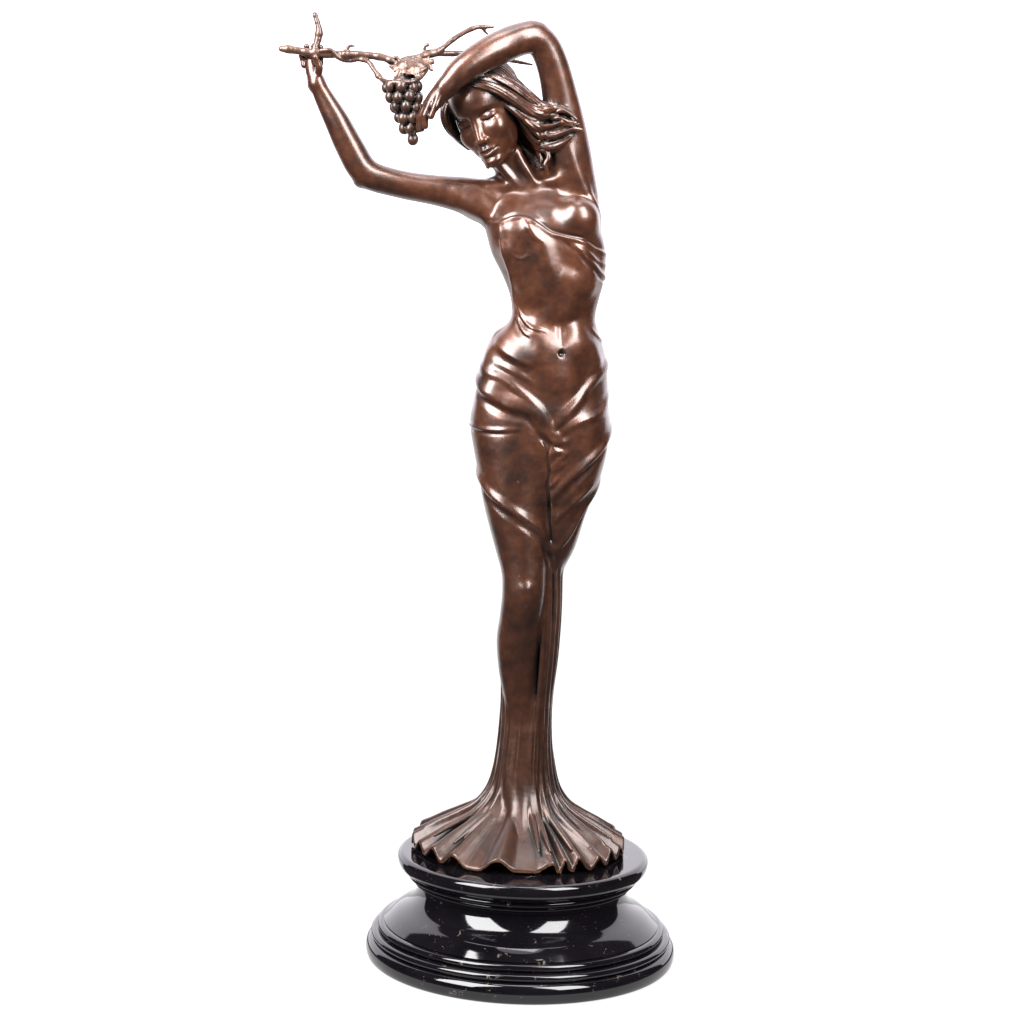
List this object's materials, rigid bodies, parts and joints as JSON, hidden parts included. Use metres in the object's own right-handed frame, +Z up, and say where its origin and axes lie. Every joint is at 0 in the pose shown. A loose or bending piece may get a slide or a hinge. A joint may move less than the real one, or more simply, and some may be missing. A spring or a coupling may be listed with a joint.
{
  "type": "bronze figure statue on plinth",
  "caption": "Patinated bronze statue of a draped standing woman lifting a grape vine over her tilted head, on a round stepped black marble plinth.",
  "frame": {"origin": "centre of the plinth's flat underside", "axes": "+Z up, +X to the viewer's right, -Y the front that the figure faces"},
  "size_m": [0.3405, 0.255, 0.7609],
  "materials": {
    "figure": "satin",
    "vine_branch": "satin",
    "plinth": "polished"
  },
  "bodies": {
    "root": {"figure": "figure", "vine_branch": "vine_branch", "plinth": "plinth"}
  },
  "joints": []
}
